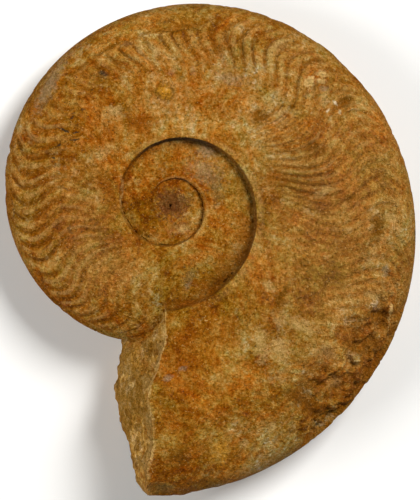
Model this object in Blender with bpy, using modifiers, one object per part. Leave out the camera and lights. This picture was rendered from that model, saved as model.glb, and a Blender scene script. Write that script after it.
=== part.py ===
"""Ammonite fossil: the stone mould of a flat-coiled shell, broken off at its mouth, lying on its side.

Lengths are in metres and +Z is up. The coil's plane is level, its axis stands at the origin until
the last step, and the whorl widens clockwise, seen from above, up to the break at the bottom (-Y).
A point of the shell is given by how far the coil has turned back from the break and by its radius.
"""

import math

import bmesh
import bpy
from mathutils import Matrix, Vector

NAME = "ammonite"
MM = 0.001
TURN = 2.0 * math.pi

# The coil: the whorl's outer edge and its inner rim are two logarithmic spirals.
BREAK_ANGLE = math.radians(-93.5)
VENTER_RADIUS = 94.9 * MM
VENTER_SHRINK = 0.118
RIM_RADIUS = 34.3 * MM
RIM_SHRINK = 0.149
SEAM_SHARE = 0.89

# The whorl's cross-section: a steep wall at the seam, a gently domed flank and a blunt outer edge.
HALF_THICKNESS = 18.0 * MM
THICKNESS_SHRINK = 0.105
CREST = 0.33
FLANK_ROUNDING = 2.0
EDGE_ROUNDING = 0.62
INNER_SLOPE = 0.09
WALL_ROUNDING = 2.5

# The break at the mouth: its lower part reaches further round the coil than its upper edge.
BREAK_REACH = math.radians(16.0)
BREAK_REACH_RADIUS = 45.5 * MM
BREAK_UPPER_SHARE = 0.25
BREAK_DEPTH = 0.65
BREAK_BLEND = math.radians(48.0)

# The underside: the high points of three places on the coil are brought level, then ground flat.
REST_PLACES = (0.15, 0.25 * TURN, 0.5 * TURN)
GROUND_OFF = 0.35 * MM

# How finely the surface is divided.
TURNS = 3
ROWS_PER_TURN = 64
BAND_STEPS = (0.0, 0.018, 0.045, 0.085, 0.2, 0.45, 0.72, 1.0)
EDGE_STEPS = 7
BREAK_RINGS = 4

STONE_COLOUR = (0.27, 0.12, 0.025, 1.0)
STONE_ROUGHNESS = 0.72


def smooth_step(value):
    """Ease from 0 to 1 as value goes from 0 to 1, and stay there outside that range."""
    value = min(max(value, 0.0), 1.0)
    return value * value * (3.0 - 2.0 * value)


def venter_radius(turned):
    """Radius of the whorl's outer edge where the coil has turned back by this angle."""
    return VENTER_RADIUS * math.exp(-VENTER_SHRINK * turned)


def seam_radius(turned):
    """Radius of the line where the whorl meets the turn inside it."""
    return SEAM_SHARE * RIM_RADIUS * math.exp(-RIM_SHRINK * turned)


def half_thickness(turned):
    """Greatest height of the whorl's surface above the coil's plane."""
    return HALF_THICKNESS * math.exp(-THICKNESS_SHRINK * turned)


def flank_height(turned, radius):
    """Height of the whorl's side, with its inner wall left out."""
    seam = seam_radius(turned)
    across = (radius - seam) / (venter_radius(turned) - seam)
    if across < CREST:
        share = 1.0 - INNER_SLOPE * ((CREST - across) / CREST) ** 2
    else:
        fall = min((across - CREST) / (1.0 - CREST), 1.0) ** FLANK_ROUNDING
        share = (1.0 - fall) ** EDGE_ROUNDING
    return half_thickness(turned) * share


def shell_height(turned, radius):
    """Height of the whorl's visible surface: its side, and the wall that drops to the seam."""
    seam = seam_radius(turned)
    wall = seam * (1.0 - SEAM_SHARE) / SEAM_SHARE
    side = flank_height(turned, radius)
    if radius >= seam + wall:
        return side
    foot = flank_height(turned + TURN, seam)
    climbed = max((radius - seam) / wall, 0.0)
    rise = (1.0 - (1.0 - climbed) ** WALL_ROUNDING) ** (1.0 / WALL_ROUNDING)
    return foot + (side - foot) * rise


def shell_point(turned, radius):
    """Place on the upper side of the whorl."""
    angle = BREAK_ANGLE + turned
    height = shell_height(turned, radius)
    return Vector((radius * math.cos(angle), radius * math.sin(angle), height))


def row_radii(turned, outermost):
    """Radii across one row: seam to the next turn's seam, and on to the edge on the last turn."""
    inner = seam_radius(turned)
    outer = seam_radius(turned - TURN)
    radii = [inner + (outer - inner) * step for step in BAND_STEPS]
    if outermost:
        edge = venter_radius(turned)
        for k in range(1, EDGE_STEPS + 1):
            radii.append(outer + (edge - outer) * math.sin(0.5 * math.pi * k / EDGE_STEPS))
    return radii


def add_rows(mesh):
    """Add the vertices row by row; the seam of a row is the last band vertex of the row inside it."""
    band = len(BAND_STEPS) - 1
    count = TURNS * ROWS_PER_TURN
    rows = []
    for i in range(count + 1):
        turned = TURN * i / ROWS_PER_TURN
        radii = row_radii(turned, i <= ROWS_PER_TURN)
        row = [mesh.verts.new(shell_point(turned, radius)) for radius in radii[:band]]
        if i < ROWS_PER_TURN:
            row += [mesh.verts.new(shell_point(turned, radius)) for radius in radii[band:]]
        else:
            row.append(rows[i - ROWS_PER_TURN][0])
        if i == ROWS_PER_TURN:
            row += [mesh.verts.new(shell_point(turned, radius)) for radius in radii[band + 1:]]
        rows.append(row)
    return rows


def add_strip(mesh, first, second):
    """Join two lines of vertices that share their counts with four-sided faces."""
    for a, b, c, d in zip(first, first[1:], second[1:], second):
        corners = [a, b, c, d]
        unique = [v for i, v in enumerate(corners) if v is not corners[i - 1]]
        mesh.faces.new(unique)


def add_zip(mesh, first, second):
    """Join two lines of vertices with unlike counts by triangles, keeping pace along both."""
    i, j = 0, 0
    while i < len(first) - 1 or j < len(second) - 1:
        ahead = (i + 1) * (len(second) - 1) <= (j + 1) * (len(first) - 1)
        if ahead and i < len(first) - 1:
            corners = [first[i], first[i + 1], second[j]]
            i += 1
        else:
            corners = [first[i], second[j + 1], second[j]]
            j += 1
        if len(set(corners)) == 3:
            mesh.faces.new(corners)


def along(line, share):
    """Point at a share of the way along a line of vertices, by count."""
    place = share * (len(line) - 1)
    k = min(int(place), len(line) - 2)
    return line[k].co.lerp(line[k + 1].co, place - k)


def add_break(mesh, outer, inner):
    """Close the mouth between the last section and the turn that it wraps around."""
    ring = outer
    for s in range(1, BREAK_RINGS):
        share = s / BREAK_RINGS
        following = [outer[0]]
        for j in range(1, len(outer)):
            target = along(inner, j / (len(outer) - 1))
            following.append(mesh.verts.new(outer[j].co.lerp(target, share)))
        add_strip(mesh, ring, following)
        ring = following
    add_zip(mesh, ring, inner)


def add_apex(mesh, rows):
    """Close the innermost turn with a low cone of triangles round the apex."""
    first = (TURNS - 1) * ROWS_PER_TURN
    loop = [row[0] for row in rows[first:]] + rows[-1][1:len(BAND_STEPS) - 1]
    centre = sum((v.co for v in loop), Vector()) / len(loop)
    middle = mesh.verts.new(centre)
    for a, b in zip(loop, loop[1:] + loop[:1]):
        mesh.faces.new([a, b, middle])


def upper_half():
    """Mesh of the upper side, open along the coil's plane."""
    mesh = bmesh.new()
    rows = add_rows(mesh)
    band = len(BAND_STEPS)
    for i, (row, following) in enumerate(zip(rows, rows[1:])):
        width = len(row) if i < ROWS_PER_TURN else band
        add_strip(mesh, row[:width], following[:width])
    add_break(mesh, rows[0], rows[ROWS_PER_TURN][band - 1:])
    add_apex(mesh, rows)
    bmesh.ops.recalc_face_normals(mesh, faces=mesh.faces)
    data = bpy.data.meshes.new(NAME)
    mesh.to_mesh(data)
    mesh.free()
    return data


def whole_coil(half):
    """Mirror the upper side below the coil's plane and return the closed mesh."""
    source = bpy.data.objects.new("half", half)
    bpy.context.scene.collection.objects.link(source)
    mirror = source.modifiers.new("lower side", "MIRROR")
    mirror.use_axis = (False, False, True)
    mirror.merge_threshold = 0.01 * MM
    depsgraph = bpy.context.evaluated_depsgraph_get()
    whole = bpy.data.meshes.new_from_object(source.evaluated_get(depsgraph))
    whole.name = NAME
    bpy.data.objects.remove(source)
    bpy.data.meshes.remove(half)
    return whole


def break_reach(point):
    """Angle by which a point near the mouth is carried on round the coil, for the slanted break."""
    radius = point.xy.length
    seam = seam_radius(0.0)
    edge = venter_radius(0.0)
    if radius < BREAK_REACH_RADIUS:
        share = smooth_step((radius - seam) / (BREAK_REACH_RADIUS - seam))
    else:
        share = 1.0 - max(radius - BREAK_REACH_RADIUS, 0.0) / (edge - BREAK_REACH_RADIUS)
    lowered = smooth_step((HALF_THICKNESS - point.z) / (2.0 * BREAK_DEPTH * HALF_THICKNESS))
    depth_share = BREAK_UPPER_SHARE + (1.0 - BREAK_UPPER_SHARE) * lowered
    past = abs(math.remainder(math.atan2(point.y, point.x) - BREAK_ANGLE, TURN))
    return BREAK_REACH * share * depth_share * (1.0 - smooth_step(past / BREAK_BLEND))


def slant_break(mesh):
    """Carry the lower part of the break on round the coil, each point along its own spiral."""
    for vertex in mesh.vertices:
        height = vertex.co.z
        reach = break_reach(vertex.co)
        onward = Matrix.Rotation(-reach, 3, "Z")
        vertex.co = onward @ vertex.co * math.exp(VENTER_SHRINK * reach)
        vertex.co.z = height


def crest_point(turned):
    """Lowest point of the underside where the coil has turned back by this angle."""
    seam = seam_radius(turned)
    radius = seam + CREST * (venter_radius(turned) - seam)
    point = shell_point(turned, radius)
    return Vector((point.x, point.y, -point.z))


def lay_level(mesh):
    """Slide the mesh up and down, column by column, until the underside's high points are level."""
    first, second, third = (crest_point(turned) for turned in REST_PLACES)
    across = (second - first).cross(third - first)
    lean = Vector((across.x / across.z, across.y / across.z))
    base = first.z + lean.dot(first.xy)
    for vertex in mesh.vertices:
        vertex.co.z += lean.dot(vertex.co.xy) - base - GROUND_OFF


def centre_on_box(mesh):
    """Move the mesh until the origin is under the middle of its outline."""
    for axis in (0, 1):
        places = [vertex.co[axis] for vertex in mesh.vertices]
        middle = 0.5 * (min(places) + max(places))
        for vertex in mesh.vertices:
            vertex.co[axis] -= middle


def limestone():
    """Ochre stone with a dull surface."""
    material = bpy.data.materials.new("ochre limestone")
    material.use_nodes = True
    surface = material.node_tree.nodes["Principled BSDF"]
    surface.inputs["Base Color"].default_value = STONE_COLOUR
    surface.inputs["Roughness"].default_value = STONE_ROUGHNESS
    surface.inputs["Metallic"].default_value = 0.0
    return material


def ground_cutter(collection):
    """Block whose top is the plane that the fossil lies on."""
    size = 3.0 * VENTER_RADIUS
    bpy.ops.mesh.primitive_cube_add(size=size, location=(0.0, 0.0, -0.5 * size))
    cutter = bpy.context.object
    cutter.name = "ground"
    cutter.hide_render = True
    cutter.display_type = "WIRE"
    for owner in list(cutter.users_collection):
        owner.objects.unlink(cutter)
    collection.objects.link(cutter)
    return cutter


def main():
    for old in list(bpy.data.objects):
        bpy.data.objects.remove(old)
    parts = bpy.data.collections.new(NAME)
    cutters = bpy.data.collections.new("cutters")
    bpy.context.scene.collection.children.link(parts)
    bpy.context.scene.collection.children.link(cutters)

    mesh = whole_coil(upper_half())
    slant_break(mesh)
    lay_level(mesh)
    centre_on_box(mesh)
    mesh.shade_smooth()
    mesh.materials.append(limestone())
    fossil = bpy.data.objects.new(NAME, mesh)
    parts.objects.link(fossil)

    grinding = fossil.modifiers.new("flat underside", "BOOLEAN")
    grinding.operation = "DIFFERENCE"
    grinding.object = ground_cutter(cutters)


main()
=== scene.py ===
"""Looks of the ammonite fossil: a flat-coiled shell turned to ochre limestone and broken off at its mouth.

One tree of geometry nodes grows the coil from the laws of its spirals, and a second one carves the
ribs, the keel, the worn places and the rough break into it. The stone's finish works out the same
laws at each point, so that its colour follows the ribs. Lengths are in metres unless a name says mm.
"""

import logging
import math
from dataclasses import dataclass, fields
from enum import Enum
from typing import Mapping, Sequence, Union

import bmesh
import bpy
import numpy as np
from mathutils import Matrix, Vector


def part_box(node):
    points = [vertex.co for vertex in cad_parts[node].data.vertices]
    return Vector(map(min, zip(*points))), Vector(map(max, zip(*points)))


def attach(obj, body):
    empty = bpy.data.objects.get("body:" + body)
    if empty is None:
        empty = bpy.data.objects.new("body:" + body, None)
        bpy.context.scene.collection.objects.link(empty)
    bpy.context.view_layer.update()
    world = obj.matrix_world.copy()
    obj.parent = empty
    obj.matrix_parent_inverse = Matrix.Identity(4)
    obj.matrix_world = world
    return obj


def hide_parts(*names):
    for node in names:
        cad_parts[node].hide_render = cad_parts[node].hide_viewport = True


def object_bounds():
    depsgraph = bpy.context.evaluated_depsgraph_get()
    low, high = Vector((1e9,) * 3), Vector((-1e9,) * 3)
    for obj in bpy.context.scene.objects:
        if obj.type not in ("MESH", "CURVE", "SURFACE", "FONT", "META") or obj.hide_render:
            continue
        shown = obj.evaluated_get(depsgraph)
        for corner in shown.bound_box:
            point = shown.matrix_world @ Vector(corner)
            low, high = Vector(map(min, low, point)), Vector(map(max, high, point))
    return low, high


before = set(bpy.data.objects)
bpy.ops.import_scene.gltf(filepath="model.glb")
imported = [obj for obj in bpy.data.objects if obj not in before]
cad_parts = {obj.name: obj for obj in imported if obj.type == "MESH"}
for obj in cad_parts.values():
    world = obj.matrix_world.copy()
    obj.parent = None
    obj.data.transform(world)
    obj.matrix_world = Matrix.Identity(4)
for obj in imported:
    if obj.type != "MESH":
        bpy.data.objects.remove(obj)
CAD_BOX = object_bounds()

log = logging.getLogger("ammonite")

MM = 0.001
TURN = 2.0 * math.pi
RIM_SHARE = 0.36143
THICKNESS_SHARE = 0.18967

Value = Union["Field", float]
Colour = tuple[float, float, float]
Pairs = tuple[tuple[float, float], ...]
Stops = tuple[tuple[float, Colour], ...]


class Field:
    """A number or place worked out by nodes; arithmetic on it adds the nodes that do the sum."""

    def __init__(self, board: "Board", socket: bpy.types.NodeSocket) -> None:
        """Hold the socket that gives the number, and the board that its nodes stand on."""
        self.board = board
        self.socket = socket

    def __add__(self, other: Value) -> "Field":
        """Sum."""
        return self.board.math("ADD", self, other)

    def __radd__(self, other: Value) -> "Field":
        """Sum, with the plain number first."""
        return self.board.math("ADD", other, self)

    def __sub__(self, other: Value) -> "Field":
        """Difference."""
        return self.board.math("SUBTRACT", self, other)

    def __rsub__(self, other: Value) -> "Field":
        """Difference, with the plain number first."""
        return self.board.math("SUBTRACT", other, self)

    def __mul__(self, other: Value) -> "Field":
        """Product."""
        return self.board.math("MULTIPLY", self, other)

    def __rmul__(self, other: Value) -> "Field":
        """Product, with the plain number first."""
        return self.board.math("MULTIPLY", other, self)

    def __truediv__(self, other: Value) -> "Field":
        """Quotient."""
        return self.board.math("DIVIDE", self, other)

    def __rtruediv__(self, other: Value) -> "Field":
        """Quotient, with the plain number first."""
        return self.board.math("DIVIDE", other, self)

    def __pow__(self, other: Value) -> "Field":
        """Power."""
        return self.board.math("POWER", self, other)

    def __abs__(self) -> "Field":
        """The number without its sign."""
        return self.board.math("ABSOLUTE", self)

    def at_least(self, other: Value) -> "Field":
        """The greater of the two."""
        return self.board.math("MAXIMUM", self, other)

    def at_most(self, other: Value) -> "Field":
        """The smaller of the two."""
        return self.board.math("MINIMUM", self, other)

    def ease(self, low: float, high: float) -> "Field":
        """Smooth step.

        Args:
            low: where the result is 0.
            high: where the result is 1; it may be the smaller of the two.

        Returns:
            A number from 0 to 1 that eases in and out between the two ends.
        """
        node = self.board.node("ShaderNodeMapRange", interpolation_type="SMOOTHSTEP")
        self.board.fill(node, Value=self, From_Min=low, From_Max=high)
        return Field(self.board, node.outputs["Result"])

    def ease_degrees(self, low: float, high: float) -> "Field":
        """Smooth step of an angle between two ends in degrees."""
        return self.ease(math.radians(low), math.radians(high))

    def near(self, middle: float, far: float, full: float) -> "Field":
        """How near an angle lies to a middle, in degrees: 0 from far off, 1 within the full reach."""
        return abs(self - math.radians(middle)).ease_degrees(far, full)

    def blend(self, start: Value, end: Value) -> "Field":
        """Start where this is 0, end where it is 1, and between the two in between."""
        return start + self * (end - start)


class Board:
    """A tree of nodes being written, with the kinds of node that meshes and finishes both need."""

    STEP = 180.0
    COLUMN_OF = 24
    CLOUD_SPREAD = 3.2

    def __init__(self, tree: bpy.types.NodeTree) -> None:
        """Start writing on a tree."""
        self.tree = tree
        self.count = 0

    def node(self, kind: str, **settings: object) -> bpy.types.Node:
        """Add one node.

        Args:
            kind: the node's type name.
            settings: properties to set on it.

        Returns:
            The new node, set down in the next free place.
        """
        node = self.tree.nodes.new(kind)
        column, row = divmod(self.count, self.COLUMN_OF)
        node.location = (self.STEP * column, -self.STEP * row)
        self.count += 1
        for name, setting in settings.items():
            setattr(node, name, setting)
        return node

    def wire(self, source: object, target: bpy.types.NodeSocket) -> None:
        """Feed a socket from a field or another socket, or set it to a plain value."""
        if isinstance(source, Field):
            source = source.socket
        if isinstance(source, bpy.types.NodeSocket):
            self.tree.links.new(source, target)
        else:
            target.default_value = source

    def fill(self, node: bpy.types.Node, **inputs: object) -> None:
        """Wire or set a node's inputs by name, with _ for a space."""
        for name, value in inputs.items():
            self.wire(value, node.inputs[name.replace("_", " ")])

    def math(self, operation: str, *values: Value) -> Field:
        """Result of one step of arithmetic on numbers."""
        node = self.node("ShaderNodeMath", operation=operation)
        for value, socket in zip(values, node.inputs):
            self.wire(value, socket)
        return Field(self, node.outputs[0])

    def fixed(self, value: Value) -> Field:
        """A plain number or a field as a field."""
        return self.math("ADD", value, 0.0)

    def vector(self, operation: str, first: Field, second: object) -> Field:
        """Result of one step of arithmetic on a place and a second place or number."""
        node = self.node("ShaderNodeVectorMath", operation=operation)
        self.wire(first, node.inputs[0])
        self.wire(second, node.inputs["Scale"] if operation == "SCALE" else node.inputs[1])
        number = operation in ("DOT_PRODUCT", "DISTANCE")
        return Field(self, node.outputs["Value" if number else "Vector"])

    def place(self, x: Value, y: Value, z: Value) -> Field:
        """A place from its three coordinates."""
        node = self.node("ShaderNodeCombineXYZ")
        for value, socket in zip((x, y, z), node.inputs):
            self.wire(value, socket)
        return Field(self, node.outputs[0])

    def parts(self, place: Field) -> tuple[Field, Field, Field]:
        """The three coordinates of a place."""
        node = self.node("ShaderNodeSeparateXYZ")
        self.wire(place, node.inputs[0])
        return Field(self, node.outputs[0]), Field(self, node.outputs[1]), Field(self, node.outputs[2])

    def clouds(self, place: Field, size: float, detail: float = 2.0, roughness: float = 0.5,
               twist: float = 0.0) -> Field:
        """Cloudy noise.

        Args:
            place: where it is read.
            size: width of its largest lumps, in the place's own unit.
            detail: how many finer layers are added.
            roughness: how strong each finer layer is beside the one before.
            twist: how far the lumps are drawn out into worms.

        Returns:
            A number that lies about 0 and mostly between -1 and 1.
        """
        node = self.node("ShaderNodeTexNoise")
        self.fill(node, Vector=place, Scale=1.0 / size, Detail=detail, Roughness=roughness, Distortion=twist)
        return (Field(self, node.outputs[0]) - 0.5) * self.CLOUD_SPREAD

    def shaken(self, place: Field, size: float, reach: float) -> Field:
        """A place moved about by noise, by up to a reach, in lumps of a size."""
        node = self.node("ShaderNodeTexNoise")
        self.fill(node, Vector=place, Scale=1.0 / size, Detail=3.0, Roughness=0.65)
        shift = self.vector("SUBTRACT", Field(self, node.outputs["Color"]), (0.5, 0.5, 0.5))
        return self.vector("ADD", place, self.vector("SCALE", shift, 4.0 * reach))

    def curve(self, share: Field, points: Sequence[tuple[float, float]]) -> Field:
        """Smooth curve through points; both numbers of each lie between 0 and 1."""
        node = self.node("ShaderNodeFloatCurve")
        self.wire(share, node.inputs["Value"])
        line = node.mapping.curves[0]
        for at, value in points[1:-1]:
            line.points.new(at, value)
        for point, (at, value) in zip(line.points, points):
            point.location = (at, value)
            point.handle_type = "AUTO_CLAMPED"
        node.mapping.update()
        return Field(self, node.outputs[0])


class MeshBoard(Board):
    """A tree of geometry nodes, with named inputs that a modifier sets."""

    def __init__(self, name: str) -> None:
        """Make the tree, with geometry in and geometry out."""
        super().__init__(bpy.data.node_groups.new(name, "GeometryNodeTree"))
        for way in ("INPUT", "OUTPUT"):
            self.tree.interface.new_socket(name="Geometry", in_out=way, socket_type="NodeSocketGeometry")
        self.entry = self.node("NodeGroupInput")
        self.given: dict[str, object] = {}

    def asked(self, name: str, value: object, kind: str = "NodeSocketFloat") -> Field:
        """Add a named input and note what the modifier gives it."""
        socket = self.tree.interface.new_socket(name=name, in_out="INPUT", socket_type=kind)
        self.given[socket.identifier] = value
        return Field(self, self.entry.outputs[name])

    def shape(self, kind: str, geometry: object, **inputs: object) -> bpy.types.NodeSocket:
        """Pass geometry through one node.

        Args:
            kind: the node's type name.
            geometry: what goes into its first input.
            inputs: values for its other inputs, by name, with _ for a space.

        Returns:
            The node's first output.
        """
        node = self.node(kind)
        self.wire(geometry, node.inputs[0])
        self.fill(node, **inputs)
        return node.outputs[0]

    def stored(self, geometry: object, **numbers: Value) -> bpy.types.NodeSocket:
        """Keep a number on each point of the geometry, by name."""
        for name, value in numbers.items():
            node = self.node("GeometryNodeStoreNamedAttribute", data_type="FLOAT", domain="POINT")
            self.fill(node, Geometry=geometry, Name=name, Value=value)
            geometry = node.outputs[0]
        return geometry

    def kept(self, name: str) -> Field:
        """A number kept on each point."""
        node = self.node("GeometryNodeInputNamedAttribute", data_type="FLOAT")
        node.inputs["Name"].default_value = name
        return Field(self, node.outputs[0])

    def sheet(self, rows: int, columns: int) -> tuple[bpy.types.NodeSocket, Field, Field]:
        """A sheet of points in rows and columns.

        Args:
            rows: number of rows.
            columns: number of points in each row.

        Returns:
            The sheet, and how far along the rows and the columns each point is, from 0 to 1.
        """
        grid = self.node("GeometryNodeMeshGrid")
        self.fill(grid, Vertices_X=rows, Vertices_Y=columns)
        index = Field(self, self.node("GeometryNodeInputIndex").outputs[0])
        row = self.math("FLOOR", (index + 0.5) / float(columns))
        column = index - row * float(columns)
        return grid.outputs["Mesh"], row / float(rows - 1), column / float(columns - 1)

    def joined(self, parts: Sequence[object]) -> bpy.types.NodeSocket:
        """All the parts as one geometry."""
        node = self.node("GeometryNodeJoinGeometry")
        for part in parts:
            self.wire(part, node.inputs[0])
        return node.outputs[0]

    def finish(self, geometry: object, stone: Field) -> None:
        """End the tree: real faces, dressed in the stone."""
        geometry = self.shape("GeometryNodeRealizeInstances", geometry)
        geometry = self.shape("GeometryNodeSetMaterial", geometry, Material=stone)
        self.wire(geometry, self.node("NodeGroupOutput").inputs[0])

    def put_on(self, obj: bpy.types.Object) -> None:
        """Give an object the tree as a modifier, with its inputs set."""
        modifier = obj.modifiers.new(self.tree.name, "NODES")
        modifier.node_group = self.tree
        for identifier, value in self.given.items():
            modifier[identifier] = value


@dataclass(frozen=True)
class CoilSizes:
    """Sizes of the coil. Its angles are turned back from the broken mouth, towards the centre."""

    venter_radius: float
    rim_radius: float
    half_thickness: float
    break_angle: float = math.radians(-93.5)
    venter_shrink: float = 0.118
    rim_shrink: float = 0.149
    seam_share: float = 0.962
    thickness_shrink: float = 0.105
    crest: float = 0.33
    flank_rounding: float = 2.0
    edge_rounding: float = 0.62
    inner_slope: float = 0.09
    inner_rise: float = 0.5
    core_rise: float = 1.3
    heart_rise: float = 2.4
    wall_foot: float = 1.6
    wall_top: float = 0.7
    break_reach: float = math.radians(20.0)
    break_blend: float = math.radians(52.0)
    break_depth: float = 0.65

    @classmethod
    def of_length(cls, length: float) -> "CoilSizes":
        """Sizes of a fossil whose outline is this long; its rim and thickness are shares of its radius."""
        venter = length / cls(1.0, 1.0, 1.0).outline()[1].y
        return cls(venter, RIM_SHARE * venter, THICKNESS_SHARE * venter)

    def venter_at(self, turned: float) -> float:
        """Radius of the outer edge at an angle."""
        return self.venter_radius * math.exp(-self.venter_shrink * turned)

    def seam_at(self, turned: float) -> float:
        """Radius of the inner seam at an angle."""
        return self.seam_share * self.rim_radius * math.exp(-self.rim_shrink * turned)

    def outline(self) -> tuple[Vector, Vector]:
        """Middle and size of the box round the outline, seen from above, about the coil's axis."""
        angles = [TURN * k / 1440.0 for k in range(1441)]
        xs = [self.venter_at(a) * math.cos(self.break_angle + a) for a in angles]
        ys = [self.venter_at(a) * math.sin(self.break_angle + a) for a in angles]
        low, high = Vector((min(xs), min(ys))), Vector((max(xs), max(ys)))
        return (low + high) / 2.0, high - low

    def low_point(self, turned: float) -> Vector:
        """The underside's lowest point across the whorl at an angle."""
        seam = self.seam_at(turned)
        radius = seam + self.crest * (self.venter_at(turned) - seam)
        angle = self.break_angle + turned
        depth = self.half_thickness * math.exp(-self.thickness_shrink * turned)
        return Vector((radius * math.cos(angle), radius * math.sin(angle), -depth))


class Whorl:
    """The laws of the whorl as fields on a board, for the mesh and for the finish alike."""

    RISES = (("inner_rise", 250.0, 420.0), ("core_rise", 480.0, 1080.0), ("heart_rise", 900.0, 1440.0))
    FOOT_MERGED = (960.0, 1220.0)

    def __init__(self, board: Board, sizes: Mapping[str, Value]) -> None:
        """Keep the board, and the sizes as plain numbers or as a tree's own inputs."""
        self.board = board
        self.sizes = sizes

    def shrunk(self, start: Value, rate: Value, turned: Value) -> Field:
        """A size that has shrunk by a rate for each radian turned back."""
        return start * self.board.math("EXPONENT", turned * rate * -1.0)

    def venter(self, turned: Value) -> Field:
        """Radius of the outer edge."""
        return self.shrunk(self.sizes["venter_radius"], self.sizes["venter_shrink"], turned)

    def seam(self, turned: Value) -> Field:
        """Radius of the line where the whorl meets the turn inside it."""
        rim = self.shrunk(self.sizes["rim_radius"], self.sizes["rim_shrink"], turned)
        return self.sizes["seam_share"] * rim

    def across(self, turned: Value, radius: Value) -> Field:
        """How far over the whorl's side a radius lies: 0 at the seam, 1 at the outer edge."""
        seam = self.seam(turned)
        return (radius - seam) / (self.venter(turned) - seam)

    def side(self, turned: Value, radius: Value) -> Field:
        """Height of the whorl's side over the coil's plane, with its inner wall left out."""
        crest = self.sizes["crest"]
        across = self.across(turned, radius)
        inner = ((crest - across) / crest).at_least(0.0)
        outer = ((across - crest) / (1.0 - crest)).at_least(0.0).at_most(1.0)
        rounded = (1.0 - outer ** self.sizes["flank_rounding"]) ** self.sizes["edge_rounding"]
        share = (1.0 - inner * inner * self.sizes["inner_slope"]) * rounded
        turned = self.board.fixed(turned)
        raised: Value = 0.0
        for rise, low, high in self.RISES:
            raised = turned.ease_degrees(low, high) * self.sizes[rise] + raised
        share = share * (1.0 + raised)
        return share * self.shrunk(self.sizes["half_thickness"], self.sizes["thickness_shrink"], turned)

    def wall(self, turned: Value) -> Field:
        """Width of the wall between the seam and the rim."""
        return self.seam(turned) * ((1.0 - self.sizes["seam_share"]) / self.sizes["seam_share"])

    def height(self, turned: Value, radius: Value) -> Field:
        """Height of the visible surface: the side, and the wall that drops from it to the seam."""
        seam = self.seam(turned)
        merged = self.board.fixed(turned).ease_degrees(*self.FOOT_MERGED)
        foot = merged.blend(self.side(turned + TURN, seam), self.side(turned, radius))
        climbed = ((radius - seam) / self.wall(turned)).at_least(0.0).at_most(1.0)
        rise = 1.0 - (1.0 - climbed ** self.sizes["wall_foot"]) ** self.sizes["wall_top"]
        return foot + (self.side(turned, radius) - foot) * rise

    def point(self, turned: Value, radius: Value) -> Field:
        """Place on the upper side of the whorl."""
        angle = self.sizes["break_angle"] + turned
        x = radius * self.board.math("COSINE", angle)
        y = radius * self.board.math("SINE", angle)
        return self.board.place(x, y, self.height(turned, radius))


class Ribs:
    """The laws of the ribs as fields on a board, for the carving and for the finish alike."""

    COUNT = 129.7
    SPREAD = 0.16
    LAGS = ((0.0, 0.42, -10.0), (0.48, 0.80, 8.0), (0.82, 1.0, -5.5))
    ENDS: Pairs = (
        (0.0, 0.95), (0.462, 0.95), (0.49, 0.82), (0.565, 0.81),
        (0.62, 0.82), (0.66, 0.85), (0.70, 0.96), (1.0, 0.96))
    OUTER: Pairs = (
        (0.0, 0.15), (0.093, 0.3), (0.19, 0.4), (0.26, 0.5), (0.343, 0.7), (0.426, 0.9), (0.51, 0.85),
        (0.62, 0.65), (0.676, 0.75), (0.72, 0.95), (0.79, 0.95), (0.857, 0.85), (0.926, 0.7), (1.0, 0.3))
    INNER: Pairs = (
        (0.0, 0.1), (0.18, 0.15), (0.25, 0.45), (0.28, 0.8), (0.35, 0.8), (0.4, 0.35), (0.5, 0.15),
        (0.68, 0.2), (0.76, 0.5), (0.815, 0.5), (0.9, 0.35), (1.0, 0.2))

    def __init__(self, board: Board) -> None:
        """Keep the board."""
        self.board = board

    def phase(self, turned: Field, across: Field, place: Field) -> Field:
        """Number of ribs counted from the mouth to a place; they stand further apart further back."""
        drift = self.board.clouds(place, 30.0 * MM, 1.0) * math.radians(1.2)
        followed = turned - self.lag(across) + drift
        return (1.0 - self.board.math("EXPONENT", followed * -self.SPREAD)) * self.COUNT

    def lag(self, across: Field) -> Field:
        """Angle by which a rib's line lags at a place across the side: a sickle's curve."""
        total: Value = 0.0
        for low, high, degrees in self.LAGS:
            total = across.ease(low, high) * math.radians(degrees) + total
        return total

    def end(self, turned: Field) -> Field:
        """How far across the side the ribs reach: all but to the edge, save along the smooth band."""
        return self.board.curve(turned / TURN, self.ENDS)

    def strength(self, turned: Field, across: Field) -> Field:
        """How plain the ribs are at a place: 0 where there are none, 1 where they are whole."""
        around = turned / TURN
        outer = self.board.curve(around, self.OUTER)
        inner = self.board.curve(around, self.INNER)
        begun = inner * across.ease(0.06, 0.36) * across.ease(0.68, 0.5)
        ended = ((self.end(turned) - across) / 0.03).ease(0.0, 1.0)
        return (begun + outer * across.ease(0.5, 0.72)) * ended

    def streaks(self, phase: Field, across: Field, detail: float = 1.0) -> Field:
        """Noise drawn out along the ribs, from their phase in turns and the place across the side."""
        return self.board.clouds(self.board.place(phase, across * 5.0, 0.0), 2.4, detail, 0.7)

    def wave(self, phase: Field, streak: Field) -> Field:
        """How deep in a furrow a place lies: 0 on a rib's crest, 1 in the middle of the furrow."""
        return 0.5 - self.board.math("COSINE", (phase + streak * 0.22) * TURN) * 0.5


@dataclass(frozen=True)
class Mark:
    """A rounded place on the upper side: its middle from the axis and its half sizes in mm, and its turn."""

    x: float
    y: float
    along: float
    over: float
    turn: float

    def distance(self, board: Board, place: Field) -> Field:
        """How far out a place lies: 0 at the middle and 1 on the edge."""
        turn = math.radians(self.turn)
        cosine, sine = math.cos(turn), math.sin(turn)
        apart = board.vector("SUBTRACT", place, (self.x * MM, self.y * MM, 0.0))
        along, over = self.along * MM, self.over * MM
        first = board.vector("DOT_PRODUCT", apart, (cosine / along, sine / along, 0.0))
        second = board.vector("DOT_PRODUCT", apart, (-sine / over, cosine / over, 0.0))
        return board.math("SQRT", first * first + second * second)


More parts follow.
